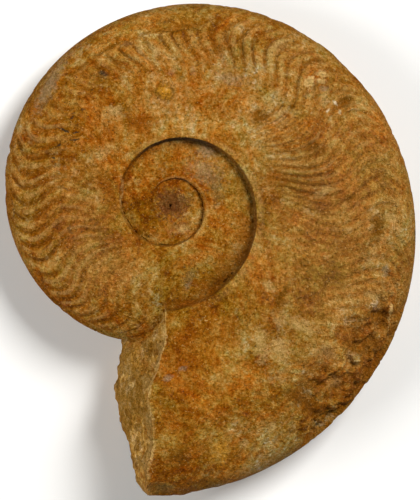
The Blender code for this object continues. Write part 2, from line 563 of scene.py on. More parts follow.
@dataclass(frozen=True)
class Dent(Mark):
    """A hollow, or with a negative depth a lump."""

    depth: float
    soft: float = 0.9

    def height(self, board: Board, place: Field) -> Field:
        """How far the surface is raised or lowered at a place."""
        return self.distance(board, place).ease(1.0, 1.0 - self.soft) * (-self.depth * MM)


DENTS = tuple(Dent(*row) for row in (
    (-2.5, 36.4, 2.7, 2.4, 10, -1.5, 0.8), (44.5, 39.0, 1.6, 2.4, -10, -1.4, 0.9),
    (48.1, 42.4, 1.7, 1.6, 20, -1.1, 0.9), (48.1, 39.4, 1.6, 1.3, 20, -1.0, 0.9),
    (-35.0, 23.8, 2.3, 0.35, -20, 0.35), (-31.4, 23.3, 2.0, 0.35, 5, 0.35),
    (-31.4, 21.2, 2.3, 0.35, 5, 0.3), (-37.3, 18.6, 1.0, 0.5, 60, 0.35), (-22.1, 42.2, 2.1, 1.0, -20, 0.3),
    (55.8, 33.5, 3.4, 3.4, 0, 0.3), (28.3, 28.0, 4.6, 3.2, -25, 0.3), (45.8, 18.3, 5.2, 2.6, -15, 0.25),
    (65.8, -7.9, 3.0, 7.2, -10, 0.35), (35.1, -29.8, 2.2, 5.8, -20, 0.3), (68.5, -21.5, 2.0, 3.0, 0, 0.3),
    (67.1, -36.6, 3.6, 5.5, 10, 0.9, 0.4), (60.5, -47.5, 4.0, 7.0, 60, 0.8, 0.6),
    (47.7, -70.2, 1.3, 0.6, -25, 0.8), (-12.5, -50.0, 2.2, 4.0, 0, 0.8), (-9.5, -82.5, 0.5, 3.2, -5, 0.6),
    (-1.7, -91.4, 9.5, 2.2, -5, 0.5, 0.7),
))
WORN = Mark(57.4, -53.4, 28.0, 12.0, 56)
MOTTLED = Mark(48.0, -46.0, 42.0, 27.0, 62)


@dataclass
class Coil:
    """The coiled shell: its sheets of points, what is carved into them, and the finished mesh."""

    sizes: CoilSizes
    turns: int = 4
    rows: int = 840
    inner_columns: int = 66
    outer_columns: int = 54
    lip_columns: int = 14
    triangles: int = 190000
    crowding: float = 1.7
    weld: float = 0.004 * MM
    ground_off: float = 0.35 * MM
    keel_ledge: float = 0.955
    keel_half: float = 0.0148
    keel_whole: tuple[float, float] = (303.0, 306.0)
    keel_notch: tuple[float, float, float] = (319.0, 2.4, 1.0)
    corner: float = 0.02
    corner_reach: float = 9.0
    ragged_size: float = 6.0 * MM
    break_upper: Pairs = (
        (0.0, 0.10), (0.06, 0.10), (0.14, 0.06), (0.24, 0.13), (0.355, 0.235), (0.454, 0.285),
        (0.553, 0.22), (0.71, 0.145), (0.84, 0.125), (0.92, 0.125), (1.0, 0.09))
    break_lower: Pairs = (
        (0.0, 0.25), (0.06, 0.42), (0.125, 0.72), (0.19, 0.82), (0.224, 0.85), (0.407, 0.765),
        (0.532, 0.645), (0.725, 0.435), (0.95, 0.23), (1.0, 0.14))
    break_zero: float = 0.1
    rest_places: tuple[float, float, float] = (0.15, 0.25 * TURN, 0.5 * TURN)

    @classmethod
    def draft(cls, sizes: CoilSizes) -> "Coil":
        return cls(sizes, rows=360, inner_columns=40, outer_columns=30)

    def lean(self) -> tuple[float, float, float]:
        """Slopes along x and y, and lift, that lay the underside's high points level on the ground."""
        first, second, third = (self.sizes.low_point(turned) for turned in self.rest_places)
        across = (second - first).cross(third - first)
        lean_x, lean_y = across.x / across.z, across.y / across.z
        base = first.z + lean_x * first.x + lean_y * first.y
        return lean_x, lean_y, -base - self.ground_off

    def growth_tree(self, stone: bpy.types.Material) -> MeshBoard:
        """Tree that grows the bare coil from its laws.

        Args:
            stone: material of the whole fossil.

        Returns:
            The board of a tree that makes a closed shell with the numbers kept that later steps read.
        """
        board = MeshBoard("coil")
        names = [item.name for item in fields(self.sizes)]
        sizes = {name: board.asked(name.replace("_", " "), getattr(self.sizes, name)) for name in names}
        whorl = Whorl(board, sizes)
        upper = [
            self.inner_bands(board, whorl),
            self.outer_band(board, whorl),
            self.mouth(board, whorl),
            self.mouth_lip(board, whorl),
        ]
        half = board.joined(upper)
        lower = board.shape("GeometryNodeTransform", half, Scale=(1.0, 1.0, -1.0))
        lower = board.shape("GeometryNodeFlipFaces", lower)
        shell = board.joined([half, lower])
        shell = board.shape("GeometryNodeMergeByDistance", shell, Distance=self.weld)
        shell = self.closed(board, shell)
        board.finish(shell, board.asked("stone", stone, "NodeSocketMaterial"))
        return board

    def inner_bands(self, board: MeshBoard, whorl: Whorl) -> bpy.types.NodeSocket:
        """The part of each turn that the next turn out, or its own continuation, would cover."""
        sheet, around, across = board.sheet(self.turns * self.rows + 1, self.inner_columns + 1)
        turned = around * (self.turns * TURN)
        seam = whorl.seam(turned)
        spread = across ** self.crowding
        radius = board.math("MULTIPLY_ADD", spread, whorl.seam(turned - TURN) - seam, seam)
        foot = ((radius - seam) / whorl.wall(turned)).ease(0.3, 1.3)
        under = across.ease(1.0, 0.93)
        free = foot * turned.ease(TURN - 0.05, TURN + 0.05).blend(1.0, under)
        sheet = board.shape("GeometryNodeSetPosition", sheet, Position=whorl.point(turned, radius))
        sheet = board.shape("GeometryNodeFlipFaces", sheet)
        return board.stored(sheet, turned=turned, across=whorl.across(turned, radius), free=free, mouth=0.0,
                            lip=turned.ease(0.02, 0.0))

    def outer_band(self, board: MeshBoard, whorl: Whorl) -> bpy.types.NodeSocket:
        """The rest of the last turn, on to the outer edge, with the keel's ledge where it is whole."""
        sheet, around, across = board.sheet(self.rows + 1, self.outer_columns + 1)
        turned = around * TURN
        radius = self.outer_radius(board, whorl, turned, across)
        share = whorl.across(turned, radius)
        shrink = 1.0 - turned.ease_degrees(self.corner_reach, 0.0) ** 2.0 * across ** 6.0 * self.corner
        x, y, height = board.parts(whorl.point(turned, radius))
        x, y = x * shrink, y * shrink
        whole = turned.ease_degrees(*self.keel_whole)
        notch = turned.near(*self.keel_notch)
        out = ((share - self.keel_ledge) / (1.0 - self.keel_ledge)).at_least(0.0).at_most(1.0)
        ledge = (1.0 - out ** 4.0) ** 0.5 * (whorl.venter(turned) * self.keel_half * 2.0)
        cut = whole * (1.0 - notch) * share.ease(self.keel_ledge - 0.006, self.keel_ledge + 0.004)
        end = turned.ease(TURN, TURN - 0.02)
        height = (cut * end * 0.55).blend(height, ledge.at_most(height + 0.0006))
        sheet = board.shape("GeometryNodeSetPosition", sheet, Position=board.place(x, y, height))
        sheet = board.shape("GeometryNodeFlipFaces", sheet)
        free = turned.ease(TURN, TURN - 0.03) * turned.ease(0.0, 0.01)
        lip = turned.ease(0.02, 0.0)
        return board.stored(sheet, turned=turned, across=share, free=free, mouth=0.0, lip=lip)

    def outer_radius(self, board: MeshBoard, whorl: Whorl, turned: Value, across: Field) -> Field:
        """Radius of a point of the outer band; the columns crowd together towards the edge."""
        inside = whorl.seam(turned - TURN)
        crowded = board.math("SINE", across * (0.5 * math.pi))
        return inside + (whorl.venter(turned) - inside) * crowded

    def mouth(self, board: MeshBoard, whorl: Whorl) -> bpy.types.NodeSocket:
        """The broken face between the last whorl's side and the turn that it lies on."""
        sheet, out, up = board.sheet(self.outer_columns + 1, self.inner_columns + 1)
        up = up ** self.crowding
        low = whorl.point(TURN, self.outer_radius(board, whorl, TURN, out))
        high = whorl.point(0.0, self.outer_radius(board, whorl, 0.0, out))
        shrink = 1.0 - out ** 6.0 * self.corner
        high = board.vector("MULTIPLY", high, board.place(shrink, shrink, 1.0))
        sheet = board.shape("GeometryNodeSetPosition", sheet, Position=self.between(board, low, high, up))
        rough = up.ease(1.0, 0.9) * up.ease(0.0, 0.12)
        return board.stored(sheet, turned=0.0, across=0.5, free=0.0, mouth=rough, lip=up.ease(0.8, 1.0))

    def mouth_lip(self, board: MeshBoard, whorl: Whorl) -> bpy.types.NodeSocket:
        """The rest of the broken face, under the side's inner part."""
        sheet, out, up = board.sheet(self.inner_columns + 1, self.lip_columns + 1)
        seam, inside = whorl.seam(0.0), whorl.seam(-TURN)
        spread = out ** self.crowding
        low = self.between(board, whorl.point(0.0, seam), whorl.point(0.0, inside), spread)
        high = whorl.point(0.0, seam + (inside - seam) * spread)
        sheet = board.shape("GeometryNodeSetPosition", sheet, Position=self.between(board, low, high, up))
        rough = up.ease(1.0, 0.5) * spread.ease(0.0, 0.12) * spread.ease(1.0, 0.9)
        return board.stored(sheet, turned=0.0, across=0.5, free=0.0, mouth=rough, lip=up.ease(0.0, 1.0))

    def between(self, board: MeshBoard, low: Field, high: Field, share: Field) -> Field:
        """Place on the straight line from one place to another."""
        return board.vector("ADD", low, board.vector("SCALE", board.vector("SUBTRACT", high, low), share))

    def closed(self, board: MeshBoard, shell: object) -> bpy.types.NodeSocket:
        """Draw the small hole at the coil's middle to a point on each side."""
        place = Field(board, board.node("GeometryNodeInputPosition").outputs[0])
        height = board.parts(place)[2]
        faces = Field(board, board.node("GeometryNodeInputMeshEdgeNeighbors").outputs[0])
        alone = board.math("COMPARE", faces, 1.0, 0.1)
        extrude = board.node("GeometryNodeExtrudeMesh", mode="EDGES")
        board.fill(extrude, Mesh=shell, Selection=alone, Offset_Scale=0.0)
        last = self.turns * TURN
        risen = 1.0 + self.sizes.inner_rise + self.sizes.core_rise + self.sizes.heart_rise
        top = self.sizes.half_thickness * math.exp(-self.sizes.thickness_shrink * last) * risen
        point = board.place(0.0, 0.0, board.math("SIGN", height) * top)
        grown, new = extrude.outputs["Mesh"], extrude.outputs["Top"]
        shell = board.shape("GeometryNodeSetPosition", grown, Selection=new, Position=point)
        return board.shape("GeometryNodeMergeByDistance", shell, Distance=self.weld)

    def carving_tree(self, stone: bpy.types.Material) -> MeshBoard:
        """Tree that carves the bare coil, slants its broken mouth and lays it on the ground.

        Args:
            stone: material of the whole fossil.

        Returns:
            The board of a tree that moves the coil's points.
        """
        board = MeshBoard("carving")
        shell = board.entry.outputs["Geometry"]
        place = Field(board, board.node("GeometryNodeInputPosition").outputs[0])
        normal = Field(board, board.node("GeometryNodeInputNormal").outputs[0])
        relief = Relief(self.sizes).height(board, place)
        moved = board.vector("ADD", place, board.vector("SCALE", normal, relief))
        shell = board.stored(shell, relief=relief / MM)
        shell = board.shape("GeometryNodeSetPosition", shell, Position=moved)
        shell = self.slanted(board, shell)
        x, y, z = board.parts(Field(board, board.node("GeometryNodeInputPosition").outputs[0]))
        lean_x, lean_y, lift = self.lean()
        lean_x, lean_y = board.asked("lean x", lean_x), board.asked("lean y", lean_y)
        z = (z + x * lean_x + y * lean_y + board.asked("lift", lift)).at_least(0.0)
        middle = self.sizes.outline()[0]
        x, y = x - board.asked("middle x", middle.x), y - board.asked("middle y", middle.y)
        shell = board.shape("GeometryNodeSetPosition", shell, Position=board.place(x, y, z))
        shell = board.shape("GeometryNodeSetShadeSmooth", shell)
        board.finish(shell, board.asked("stone", stone, "NodeSocketMaterial"))
        return board

    def slanted(self, board: MeshBoard, shell: object) -> bpy.types.NodeSocket:
        """Carry the lower part of the broken mouth on round the coil, each point along its own spiral."""
        sizes = self.sizes
        place = Field(board, board.node("GeometryNodeInputPosition").outputs[0])
        x, y, z = board.parts(place)
        radius = board.math("SQRT", x * x + y * y)
        angle = board.math("ARCTAN2", y, x)
        seam = sizes.seam_at(0.0)
        across = (radius - seam) / (sizes.venter_radius - seam)
        lowered = z.ease(sizes.half_thickness, sizes.half_thickness * (1.0 - 2.0 * sizes.break_depth))
        upper, lower = board.curve(across, self.break_upper), board.curve(across, self.break_lower)
        share = (lowered.blend(upper, lower) - self.break_zero) * across.ease(-0.04, 0.03)
        past = abs(board.math("WRAP", angle - sizes.break_angle, math.pi, -math.pi))
        level = board.vector("MULTIPLY", place, (1.0, 1.0, 0.25))
        ragged = board.clouds(level, self.ragged_size, 4.0, 0.7)
        ragged = ragged * lowered.blend(math.radians(0.9), math.radians(0.35)) * across.ease(0.0, 0.15)
        reach = board.asked("break reach", sizes.break_reach) * share + ragged
        reach = reach * past.ease(sizes.break_blend, 0.0)
        shell = board.stored(shell, slant=reach)
        reach = board.kept("slant")
        radius = radius * board.math("EXPONENT", reach * sizes.venter_shrink)
        angle = angle - reach
        x, y = radius * board.math("COSINE", angle), radius * board.math("SINE", angle)
        return board.shape("GeometryNodeSetPosition", shell, Position=board.place(x, y, z))

    def make(self, stone: bpy.types.Material) -> bpy.types.Object:
        """Grow, carve and thin the coil.

        Args:
            stone: material of the whole fossil.

        Returns:
            An object with a plain closed mesh, in place.
        """
        seedling = bpy.data.objects.new("coil_growing", bpy.data.meshes.new("coil_growing"))
        bpy.context.scene.collection.objects.link(seedling)
        self.growth_tree(stone).put_on(seedling)
        self.carving_tree(stone).put_on(seedling)
        mesh = self.plain(seedling)
        mesh.calc_loop_triangles()
        log.info("coil grown with %d triangles", len(mesh.loop_triangles))
        if len(mesh.loop_triangles) > self.triangles:
            seedling.modifiers.clear()
            seedling.data = mesh
            thinning = seedling.modifiers.new("thinning", "DECIMATE")
            thinning.ratio = self.triangles / len(mesh.loop_triangles)
            mesh = self.plain(seedling)
        bpy.data.objects.remove(seedling)
        self.turn_outwards(mesh)
        self.hold_within(mesh, *CAD_BOX)
        if not mesh.materials:
            mesh.materials.append(stone)
        mesh.name = "ammonite_stone"
        fossil = bpy.data.objects.new("ammonite_stone", mesh)
        bpy.context.scene.collection.objects.link(fossil)
        return fossil

    def plain(self, obj: bpy.types.Object) -> bpy.types.Mesh:
        """The object's mesh as its modifiers leave it."""
        graph = bpy.context.evaluated_depsgraph_get()
        graph.update()
        return bpy.data.meshes.new_from_object(obj.evaluated_get(graph), depsgraph=graph)

    def turn_outwards(self, mesh: bpy.types.Mesh) -> None:
        """Make every face a triangle that points outwards, shaded smooth."""
        work = bmesh.new()
        work.from_mesh(mesh)
        bmesh.ops.remove_doubles(work, verts=work.verts, dist=0.001 * MM)
        bmesh.ops.triangulate(work, faces=work.faces)
        bmesh.ops.recalc_face_normals(work, faces=work.faces)
        open_edges = sum(1 for edge in work.edges if len(edge.link_faces) != 2)
        for face in work.faces:
            face.smooth = True
        work.to_mesh(mesh)
        volume = work.calc_volume()
        log.info("%d triangles, %d open edges, %.1f cm3", len(work.faces), open_edges, volume * 1e6)
        work.free()

    def hold_within(self, mesh: bpy.types.Mesh, low: Vector, high: Vector) -> None:
        """Bring the few points that thinning or noise left outside a box back to its sides."""
        for vertex in mesh.vertices:
            for axis in range(3):
                vertex.co[axis] = min(max(vertex.co[axis], low[axis]), high[axis])


@dataclass(frozen=True)
class Relief:
    """What is carved into the bare coil: ribs, the groove by the keel, lumps, dents and the rough break."""

    sizes: CoilSizes
    rib_height: float = 1.55 * MM
    lumps: Pairs = ((26.0, 0.50), (9.0, 0.34), (3.4, 0.18), (1.6, 0.08))
    worn_lumps: Pairs = ((9.0, 1.5), (4.0, 0.8), (1.6, 0.3))
    break_lumps: Pairs = ((10.0, 1.9), (4.2, 1.2), (1.9, 0.35))
    keel_groove: float = 0.5 * MM
    step_depth: float = 1.9 * MM
    chip_depth: float = 0.75 * MM

    def height(self, board: MeshBoard, place: Field) -> Field:
        """How far each point of the bare coil moves along its normal."""
        upper = board.parts(place)[2].ease(0.0, 1.5 * MM)
        flat = board.place(*board.parts(place)[:2], 0.0)
        shaken = board.shaken(flat, 4.0 * MM, 0.4 * MM)
        worn = WORN.distance(board, shaken).ease(1.15, 0.75) * upper
        free, mouth = board.kept("free"), board.kept("mouth")
        shell = 1.0 - mouth
        carved = self.ribbing(board, place, worn, upper) * free
        relief = carved + self.lumpy(board, place, self.lumps, 3.7) * shell
        relief = relief + self.lumpy(board, place, self.break_lumps, 8.1) * mouth
        steps = board.clouds(place, 11.0 * MM, 4.0, 0.6).ease(-0.26, 0.26)
        hollow = self.lumpy(board, place, self.worn_lumps, 5.3) + (steps - 1.1) * self.step_depth
        relief = relief + worn * free * hollow
        across = board.kept("across")
        chips = board.clouds(place, 5.0 * MM, 3.0, 0.7).ease(0.15, 0.8) * across.ease(0.94, 0.99)
        relief = relief - chips * free * self.chip_depth
        marks = upper * shell
        for dent in DENTS:
            relief = relief + dent.height(board, shaken) * marks
        return (across.ease(0.9, 0.985) * free).blend(relief, relief.at_most(0.0))

    def lumpy(self, board: Board, place: Field, layers: Sequence[tuple[float, float]], shift: float) -> Field:
        """Layers of rounded lumps, each with its width and height in mm."""
        place = board.vector("ADD", place, (shift, 2.0 * shift, -shift))
        total: Value = 0.0
        for width, height in layers:
            total = board.clouds(place, width * MM, 1.0) * (height * MM) + total
        return total

    def ribbing(self, board: MeshBoard, place: Field, worn: Field, upper: Field) -> Field:
        """Ribs on the outer part of the side, and the groove between them and the keel."""
        turned, across = board.kept("turned"), board.kept("across")
        laws = Ribs(board)
        phase = laws.phase(turned, across, place)
        streak = laws.streaks(phase, across)
        crest = 0.6 - laws.wave(phase, streak) ** 1.6
        end = laws.end(turned)
        strength = laws.strength(turned, across) * (1.0 - worn * 0.6) * upper.blend(0.7, 1.0)
        fresh = board.clouds(place, 16.0 * MM, 1.0).ease(-0.8, 0.5).blend(0.5, 1.25)
        grown = board.math("EXPONENT", turned * -0.10) * turned.ease(TURN + 1.5, TURN - 0.8).blend(0.25, 1.0)
        ribs = crest * (1.0 + streak * 0.8) * strength * fresh * grown * self.rib_height
        groove = abs(across - end - 0.012).ease(0.03, 0.0) * end.ease(0.93, 0.86) * self.keel_groove
        return ribs - groove * grown


class Tint(Enum):
    """Colours laid on the stone in places: most are its own, and some serve as painted shade, painted shadow
    and painted highlights.
    """

    PALE = (0.43, 0.27, 0.085)
    CREAM = (0.55, 0.35, 0.115)
    WHITE = (0.80, 0.68, 0.45)
    HONEY = (0.56, 0.25, 0.02)
    RUST = (0.215, 0.062, 0.003)
    UMBER = (0.130, 0.052, 0.003)
    PLUM = (0.105, 0.038, 0.012)
    SHADE = (0.095, 0.027, 0.0004)
    LILAC = (0.255, 0.140, 0.070)
    GREY = (0.235, 0.160, 0.075)
    SLATE = (0.230, 0.175, 0.105)
    OLIVE = (0.155, 0.100, 0.026)
    BLACK = (0.034, 0.027, 0.015)


@dataclass(frozen=True)
class Stain(Mark):
    """A coloured place on the upper side; a few of them are painted shade and painted highlights."""

    tint: Tint
    strength: float
    soft: float = 0.9


STAINS = tuple(Stain(*row) for row in (
    (-27.9, -3.3, 16.2, 19.4, 0, Tint.PALE, 0.1, 1.0), (-22.7, -19.5, 19.4, 14.5, 0, Tint.PALE, 0.14, 1.0),
    (56.5, -8.2, 38.8, 67.9, 0, Tint.PALE, 0.13, 1.0), (51.6, -14.6, 42.0, 67.9, 0, Tint.OLIVE, 0.13, 1.0),
    (-39.5, 39.0, 13.6, 2.6, 63, Tint.GREY, 0.72), (-34.7, 24.1, 2.1, 0.4, -15, Tint.BLACK, 0.9, 0.6),
    (-31.0, 23.5, 1.6, 0.3, 8, Tint.BLACK, 0.9, 0.6), (-31.4, 21.1, 2.4, 0.3, 8, Tint.BLACK, 0.85, 0.6),
    (-36.6, 19.0, 1.0, 0.5, 60, Tint.BLACK, 0.85, 0.6), (-38.2, 14.8, 0.7, 0.5, 0, Tint.BLACK, 0.8, 0.6),
    (-33.7, 4.8, 1.9, 0.4, -30, Tint.BLACK, 0.45, 0.6), (-32.7, -8.2, 0.5, 1.9, 10, Tint.BLACK, 0.4, 0.6),
    (-22.1, 42.2, 2.3, 1.1, -20, Tint.BLACK, 0.8), (-28.5, 30.6, 1.0, 0.6, 0, Tint.BLACK, 0.6, 0.7),
    (-32.4, 28.0, 0.8, 0.5, 20, Tint.BLACK, 0.6, 0.7), (-10.4, 49.4, 2.3, 1.5, -40, Tint.PALE, 0.75, 0.8),
    (-5.9, 50.0, 2.6, 1.5, -45, Tint.PALE, 0.8, 0.8), (1.2, 56.1, 8.4, 0.4, 2, Tint.UMBER, 0.87, 0.7),
    (-0.4, 54.2, 0.6, 1.6, 10, Tint.PLUM, 0.6), (-4.0, 53.6, 0.7, 1.6, 15, Tint.PLUM, 0.5),
    (3.5, 54.5, 0.6, 1.6, 5, Tint.PLUM, 0.5), (8.3, 55.2, 0.7, 1.3, 0, Tint.PLUM, 0.6),
    (-14.3, 51.6, 2.3, 1.0, 10, Tint.PLUM, 0.55), (-18.2, 29.6, 3.6, 2.6, 0, Tint.PALE, 0.72),
    (-22.7, 16.4, 4.2, 2.6, 30, Tint.PALE, 0.45), (-9.8, 26.4, 5.2, 2.6, 10, Tint.RUST, 0.85),
    (-21.4, 6.0, 4.8, 2.6, -40, Tint.RUST, 0.87), (-7.2, 17.0, 7.1, 1.6, 35, Tint.RUST, 0.58),
    # honey nodule: a dark rim round it, its own colour and painted shade
    (-2.5, 36.3, 3.6, 3.1, 10, Tint.UMBER, 0.65, 0.4), (-2.4, 36.4, 2.6, 2.3, 10, Tint.HONEY, 0.85, 0.6),
    # the first cream spot here is a painted highlight on the honey nodule
    (-1.7, 37.4, 1.0, 0.8, 10, Tint.CREAM, 0.4), (-0.1, 42.6, 1.9, 1.6, 0, Tint.LILAC, 0.35),
    (6.7, 42.9, 1.3, 1.9, 0, Tint.LILAC, 0.35), (-1.7, 59.4, 2.9, 0.8, 15, Tint.UMBER, 0.72, 0.8),
    (7.7, 62.6, 2.6, 1.0, 40, Tint.UMBER, 0.58, 0.8), (18.6, 40.3, 5.8, 2.9, -25, Tint.LILAC, 0.45),
    (16.7, 52.6, 3.2, 4.5, 0, Tint.RUST, 0.51), (34.2, 50.6, 6.1, 2.9, 35, Tint.PALE, 0.49),
    (44.5, 39.0, 1.6, 2.4, -10, Tint.CREAM, 0.9, 0.4), (47.9, 42.4, 1.8, 1.6, 20, Tint.CREAM, 0.75, 0.5),
    (48.2, 40.0, 1.5, 1.0, 10, Tint.CREAM, 0.65, 0.5), (46.1, 37.4, 1.0, 2.3, -20, Tint.UMBER, 0.58, 0.8),
    (48.7, 37.4, 1.9, 1.3, 0, Tint.GREY, 0.65, 0.8), (55.8, 33.8, 2.9, 2.9, 0, Tint.UMBER, 0.92),
    (52.6, 32.5, 1.1, 0.6, -30, Tint.WHITE, 0.6), (50.0, 30.6, 1.1, 0.5, 20, Tint.WHITE, 0.5),
    (53.9, 30.0, 0.5, 1.0, 0, Tint.WHITE, 0.4), (28.3, 28.0, 4.2, 2.9, -25, Tint.UMBER, 0.8),
    (45.8, 18.3, 4.8, 2.3, -15, Tint.UMBER, 0.72), (32.9, 8.6, 7.1, 3.2, -10, Tint.RUST, 0.65),
    (49.0, 4.1, 4.8, 1.6, 18, Tint.PALE, 0.59, 0.8), (57.4, 2.2, 3.2, 1.9, 10, Tint.UMBER, 0.72),
    (65.8, -7.9, 2.6, 6.8, -10, Tint.UMBER, 0.9), (70.7, -4.6, 2.6, 1.6, -30, Tint.PALE, 0.65, 0.8),
    (78.9, -9.8, 0.6, 3.9, 0, Tint.BLACK, 0.75, 0.5), (35.1, -29.8, 1.9, 5.5, -20, Tint.UMBER, 0.87, 0.85),
    (48.4, -36.3, 1.3, 1.1, 0, Tint.UMBER, 0.8, 0.8), (68.7, -21.1, 1.6, 2.6, 0, Tint.GREY, 0.78, 0.8),
    (30.6, -25.6, 2.3, 1.6, 0, Tint.PALE, 0.52), (28.7, -45.3, 2.9, 7.8, 10, Tint.PALE, 0.59),
    (34.5, -46.0, 4.2, 4.5, 0, Tint.PALE, 0.78, 0.8), (41.3, -38.6, 6.5, 2.6, -20, Tint.PALE, 0.59, 0.8),
    (49.0, -47.6, 4.5, 3.2, -10, Tint.PALE, 0.52, 0.8), (52.3, -56.7, 2.6, 1.9, 30, Tint.PALE, 0.59, 0.8),
    (37.7, -60.5, 4.5, 2.9, 0, Tint.UMBER, 0.65, 0.8), (64.5, -29.5, 4.5, 1.3, -15, Tint.PALE, 0.59),
    (31.6, -26.9, 2.9, 1.9, -30, Tint.PALE, 0.52), (42.6, -18.8, 4.2, 2.9, -10, Tint.UMBER, 0.58),
    (31.6, -16.9, 1.6, 5.2, 10, Tint.RUST, 0.58), (65.5, -35.3, 3.9, 2.6, -20, Tint.UMBER, 0.8, 0.7),
    (58.7, -47.0, 5.8, 2.3, -30, Tint.UMBER, 0.72, 0.8), (62.3, -53.7, 2.9, 2.6, 0, Tint.UMBER, 0.72, 0.8),
    (67.1, -36.6, 3.6, 4.5, 0, Tint.UMBER, 0.65), (63.3, -45.3, 3.6, 5.2, 25, Tint.UMBER, 0.65),
    # the cream line is a painted highlight on a lit rim in the worn place
    (70.0, -36.3, 0.5, 7.1, -3, Tint.CREAM, 0.75, 0.6), (43.2, -63.8, 9.0, 4.2, -45, Tint.UMBER, 0.72),
    (47.7, -70.2, 1.1, 0.5, -25, Tint.BLACK, 0.85, 0.5), (31.6, -71.2, 1.9, 2.3, 0, Tint.PALE, 0.65),
    (22.9, -76.4, 1.6, 2.3, 0, Tint.PALE, 0.65), (15.7, -79.9, 3.9, 5.8, -20, Tint.HONEY, 0.4),
    (5.7, -23.0, 2.3, 4.5, -20, Tint.OLIVE, 0.65), (5.4, -25.6, 1.3, 2.6, -20, Tint.GREY, 0.52),
    (-12.7, -3.3, 1.0, 4.5, 12, Tint.SHADE, 0.5, 0.8), (-7.9, -9.5, 3.2, 1.0, -35, Tint.SHADE, 0.6, 0.8),
    # the cream line on the left of the seam is pale rubbed stone and a painted highlight where the wall faces
    # the light
    (-15.0, 8.6, 0.8, 4.5, -8, Tint.SHADE, 0.45, 0.8), (-16.3, 4.8, 0.5, 7.1, -2, Tint.CREAM, 0.3, 0.8),
    # the next four rows darken the inner side of the seam on the lower right: dark red-brown stone and
    # painted shade
    (22.5, -15.9, 4.5, 1.6, 65, Tint.SHADE, 0.6, 0.8), (15.1, -24.7, 5.8, 1.6, 37, Tint.SHADE, 0.6, 0.8),
    (5.7, -31.4, 4.5, 1.0, 15, Tint.SHADE, 0.6, 0.8), (5.4, -32.1, 5.2, 1.3, 15, Tint.RUST, 0.87, 0.8),
    (3.5, -52.5, 1.8, 1.0, 20, Tint.SLATE, 0.65), (-1.1, -55.4, 2.3, 1.0, 10, Tint.SLATE, 0.65),
    (2.5, -81.2, 4.2, 4.8, 0, Tint.UMBER, 0.72), (-3.3, -91.2, 5.5, 2.3, -8, Tint.OLIVE, 0.78, 0.8),
    (9.6, -89.9, 9.7, 2.6, 10, Tint.UMBER, 0.65), (-10.8, -48.6, 2.3, 1.6, 30, Tint.RUST, 0.92, 0.8),
    (-9.5, -82.5, 0.5, 2.9, -5, Tint.RUST, 0.8, 0.6), (11.2, 17.0, 4.2, 1.9, -15, Tint.GREY, 0.78),
    (10.6, 10.6, 8.4, 5.5, -35, Tint.GREY, 0.55, 1.0), (14.1, 4.8, 3.2, 5.2, 10, Tint.OLIVE, 0.52, 1.0),
    (2.5, -7.5, 5.8, 3.2, 0, Tint.GREY, 0.3, 1.0), (5.1, 1.5, 2.9, 4.2, 0, Tint.UMBER, 0.58),
    (-0.1, 0.2, 5.8, 5.5, 0, Tint.PLUM, 0.75, 0.5), (4.1, -7.9, 2.9, 1.3, 20, Tint.CREAM, 0.45, 0.8),
    (5.1, -3.0, 1.9, 0.6, 10, Tint.CREAM, 0.45, 0.8), (-5.9, -8.8, 3.2, 1.6, -50, Tint.RUST, 0.72, 0.8),
    (-11.4, -33.4, 0.7, 1.3, 0, Tint.CREAM, 0.35, 0.8),
))


class FinishBoard(Board):
    """A material's tree of nodes."""

    def __init__(self, name: str) -> None:
        """Make the material, with its surface shader ready."""
        self.material = bpy.data.materials.new(name)
        self.material.use_nodes = True
        super().__init__(self.material.node_tree)
        self.surface = self.tree.nodes["Principled BSDF"]

    def kept(self, name: str) -> Field:
        """A number kept on each point of the mesh."""
        return Field(self, self.node("ShaderNodeAttribute", attribute_name=name).outputs["Fac"])

    def tinted(self, under: Field, over: object, share: Value) -> Field:
        """One colour laid over another by a share."""
        node = self.node("ShaderNodeMix", data_type="RGBA")
        if isinstance(over, Tint):
            over = (*over.value, 1.0)
        for value, socket in ((share, node.inputs[0]), (under, node.inputs[6]), (over, node.inputs[7])):
            self.wire(value, socket)
        return Field(self, node.outputs[2])

    def ramp(self, share: Field, stops: Stops) -> Field:
        """Colour that runs through several stops."""
        node = self.node("ShaderNodeValToRGB")
        self.wire(share, node.inputs[0])
        elements = node.color_ramp.elements
        while len(elements) < len(stops):
            elements.new(1.0)
        for element, (at, colour) in zip(elements, stops):
            element.position = at
            element.color = (*colour, 1.0)
        return Field(self, node.outputs[0])


